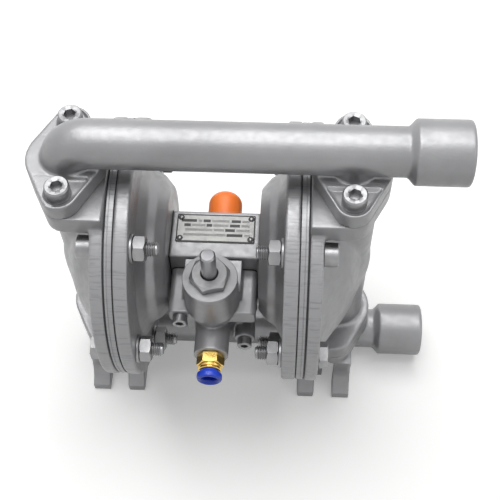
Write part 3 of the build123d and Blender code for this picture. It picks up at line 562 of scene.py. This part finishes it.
# Painted edges of the diaphragms: two bands with a fine groove between them and a dark gap beside each disc
edge_band = ring_shape([(74.4, 0.35), (75.45, 0.35), (75.55, 0.45), (75.55, 2.55), (75.3, 2.7), (75.3, 2.9),
                        (75.55, 3.05), (75.55, 4.1), (75.45, 4.2), (74.4, 4.2)], 180)
edge_places = [place(spot(side * EDGE_BAND_X, 0, AXIS_Z), (side, 0, 0)) for side in (-1, 1)]
show("painted_diaphragm_edges", set_out(edge_band, edge_places), [filed_paint])

# Nameplate print: a black border, blank value boxes and plain ruled lines
PRINT_THICK = 0.04
PLATE_HALF_X = 22.6
PLATE_HALF_Y = 9.1
BORDER = 0.8
RIVET_RING = 1.9
BOX_HEIGHT = 1.9
RULE_HEIGHT = 0.28
RULE_STEP = 0.55
# Left end, middle and width of each box and of each group of three lines
VALUE_BOXES = (
    (-20.4, 5.1, 9.0), (-7.5, 5.1, 4.2), (9.0, 5.1, 5.4),
    (-18.6, 2.0, 3.8), (-5.5, 2.0, 3.2), (8.2, 2.0, 5.8),
    (5.6, -1.2, 5.6),
    (6.6, -4.6, 9.2),
)
RULED_LINES = (
    (-10.6, 5.1, 2.4), (-2.6, 5.1, 10.4), (15.2, 5.1, 4.4),
    (-14.2, 2.0, 8.0), (-1.6, 2.0, 9.0), (14.8, 2.0, 5.0),
    (-18.0, -1.2, 16.0), (-1.0, -1.2, 6.0), (12.0, -1.2, 8.0),
    (-18.6, -4.6, 24.6), (16.8, -4.6, 3.4),
)


def print_block(bm, left, middle, width, height):
    """Flat printed rectangle on the nameplate."""
    centre = Vector((left + width / 2, middle, PRINT_THICK / 2))
    size = Matrix.Diagonal((width, height, PRINT_THICK, 1))
    bmesh.ops.create_cube(bm, size=1, matrix=Matrix.Translation(centre) @ size)


plate_place = place(spot(0, PLATE_Y, PLATE_TOP), (0, 0, 1))
border = bmesh.new()
for edge_y in (-PLATE_HALF_Y, PLATE_HALF_Y):
    print_block(border, -PLATE_HALF_X, edge_y, 2 * PLATE_HALF_X, BORDER)
for edge_x in (-PLATE_HALF_X, PLATE_HALF_X):
    print_block(border, edge_x - BORDER / 2, 0, BORDER, 2 * PLATE_HALF_Y)
for rivet_x, rivet_y in RIVET_SPOTS:
    bmesh.ops.create_cone(border, cap_ends=True, segments=32, radius1=RIVET_RING, radius2=RIVET_RING,
                          depth=PRINT_THICK, matrix=Matrix.Translation((rivet_x, rivet_y, PRINT_THICK / 2)))
for left, middle, width in VALUE_BOXES:
    print_block(border, left, middle, width, BOX_HEIGHT)
show("nameplate_black_print", set_out(border, [plate_place]), [black_print])
rules = bmesh.new()
for left, middle, width in RULED_LINES:
    for drop in (-RULE_STEP, 0.0, RULE_STEP):
        print_block(rules, left, middle + drop, width, RULE_HEIGHT)
show("nameplate_ruled_lines", set_out(rules, [plate_place]), [grey_print])

# Floor
FLOOR_REACH = 6.0
floor_bm = bmesh.new()
bmesh.ops.create_grid(floor_bm, x_segments=1, y_segments=1, size=FLOOR_REACH)
floor_mesh = bpy.data.meshes.new("floor")
floor_bm.to_mesh(floor_mesh)
floor_bm.free()
floor = bpy.data.objects.new("floor", floor_mesh)
bpy.context.scene.collection.objects.link(floor)

# White paper sweep: matt, white to the eye, and it throws less light back up at the pump than it shows.
# A glow that grows between two distances from the pump, in metres, keeps its far parts white.
PAPER_WHITE = "#FBFBFA"
PAPER_BOUNCE = "#8A8A8A"
NEAR_GLOW = 0.24
GLOW_RISES = (0.5, 1.8)
paper, paper_tree, paper_surface, paper_where = shader(
    "white_paper_sweep", PAPER_WHITE, Roughness=0.9, **{"Emission Color": linear("#FFFFFF")})
paper_seen = looked_at(paper_tree)
paper_colour = add(paper_tree, "ShaderNodeMix", {"data_type": "RGBA"},
                   {0: paper_seen, 6: linear(PAPER_BOUNCE), 7: linear(PAPER_WHITE)})
paper_tree.links.new(paper_colour.outputs[2], paper_surface.inputs["Base Color"])
paper_reach = add(paper_tree, "ShaderNodeVectorMath", {"operation": "LENGTH"}, {0: paper_where})
paper_rise = spread(paper_tree, paper_reach.outputs["Value"], NEAR_GLOW, 1.0, *GLOW_RISES)
paper_glow = add(paper_tree, "ShaderNodeMath", {"operation": "MULTIPLY"}, {0: paper_seen, 1: paper_rise})
paper_tree.links.new(paper_glow.outputs[0], paper_surface.inputs["Emission Strength"])
floor_mesh.materials.append(paper)


# Castings: a skin over each solid with the rounded edges and inner corners of a painted casting
WELD = 0.01
FILED_BAND = 1.0


def fill_pockets(bm):
    """Raise the flanges' pockets to the top where the casting has filled them.

    That is the outer half on the left flange and the strip beside the pipe on the right one.
    """
    for vert in bm.verts:
        x, y, z = vert.co / MM
        y = abs(y)
        side = 1 if x > PUMP_X else -1
        x -= PUMP_X + side * PORT_X
        to_screw = sqrt(x * x + (y - FLANGE_SCREW_Y) ** 2)
        inside = max(EAR_RADIUS - to_screw, FLANGE_RADIUS - abs(x) * EDGE_COS - y * EDGE_SIN)
        in_pocket = POCKET_FLOOR < z < FLANGE_TOP and y > PIPE_EDGE and inside > POCKET_WALL
        filled = y < STRIP_EDGE if side > 0 else x < -1.0
        if in_pocket and filled and to_screw > SCREW_HEAD_ROOM:
            vert.co.z = FLANGE_TOP * MM


def cast_skin(node, slot, voxel_mm, rounds, edge=None, change=None):
    """Rounded copy of a casting. An edge material goes where a disc's rim was filed."""
    bm = bmesh.new()
    bm.from_mesh(nodes[node].data)
    bmesh.ops.remove_doubles(bm, verts=bm.verts, dist=WELD * MM)
    rough = bpy.data.meshes.new(node + "_rough")
    bm.to_mesh(rough)
    bm.free()
    block = bpy.data.objects.new(node + "_block", rough)
    bpy.context.scene.collection.objects.link(block)
    remesh = block.modifiers.new("remesh", "REMESH")
    remesh.mode = "VOXEL"
    remesh.voxel_size = voxel_mm * MM
    soften = block.modifiers.new("soften", "SMOOTH")
    soften.factor = 0.5
    soften.iterations = rounds
    bpy.context.view_layer.update()
    graph = bpy.context.evaluated_depsgraph_get()
    rounded = bmesh.new()
    rounded.from_mesh(block.evaluated_get(graph).data)
    bpy.data.objects.remove(block)
    bpy.data.meshes.remove(rough)
    if change:
        change(rounded)
    materials = [finishes[slot]]
    if edge:
        materials.append(edge)
        for face in rounded.faces:
            middle = face.calc_center_median()
            reach = Vector((middle.y, middle.z - AXIS_Z * MM)).length
            on_rim = abs(reach - DISC_RADIUS * MM) < FILED_BAND * MM and abs(face.normal.x) < 0.8
            face.material_index = int(on_rim and abs(middle.x - PUMP_X * MM) < FLUID_FACE * MM)
    return show(node + "_casting", rounded, materials, smooth=180, replaced=(node,))


cast_skin("discharge_manifold", "cast", 0.75, 2, change=fill_pockets)
cast_skin("suction_manifold", "cast", 1.0, 2)
for side_name in ("right", "left"):
    cast_skin(side_name + "_fluid_cover", "cast", 0.95, 3, filed_paint)
    cast_skin(side_name + "_air_chamber", "cast", 0.9, 3, filed_paint)
cast_skin("valve_body", "valve_paint", 0.55, 3)
cast_skin("centre_block", "cast", 0.6, 2)
